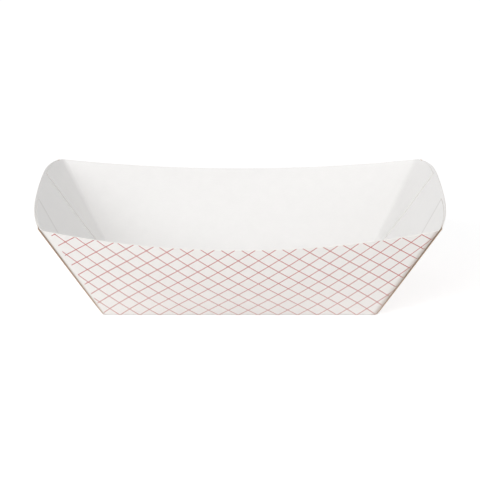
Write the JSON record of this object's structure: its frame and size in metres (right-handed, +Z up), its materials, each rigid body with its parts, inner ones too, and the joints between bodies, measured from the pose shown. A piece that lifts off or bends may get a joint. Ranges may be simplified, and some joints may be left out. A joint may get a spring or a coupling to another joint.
{
  "type": "paper food tray",
  "caption": "Open paperboard food tray, folded and glued from one blank, with flared walls, dipped long rims, arched ends and a thin red diagonal lattice on its outside.",
  "frame": {"origin": "centre of the flat underside, on the surface that the tray stands on", "axes": "+X along the long side, +Y across the tray, +Z up out of its open top"},
  "size_m": [0.219, 0.162, 0.0602],
  "materials": {
    "printed_paperboard": "smooth matt coated white board, plain inside, with thin brick-red diagonal lines on the outside"
  },
  "bodies": {
    "root": {"food_tray": "printed_paperboard"}
  },
  "joints": []
}
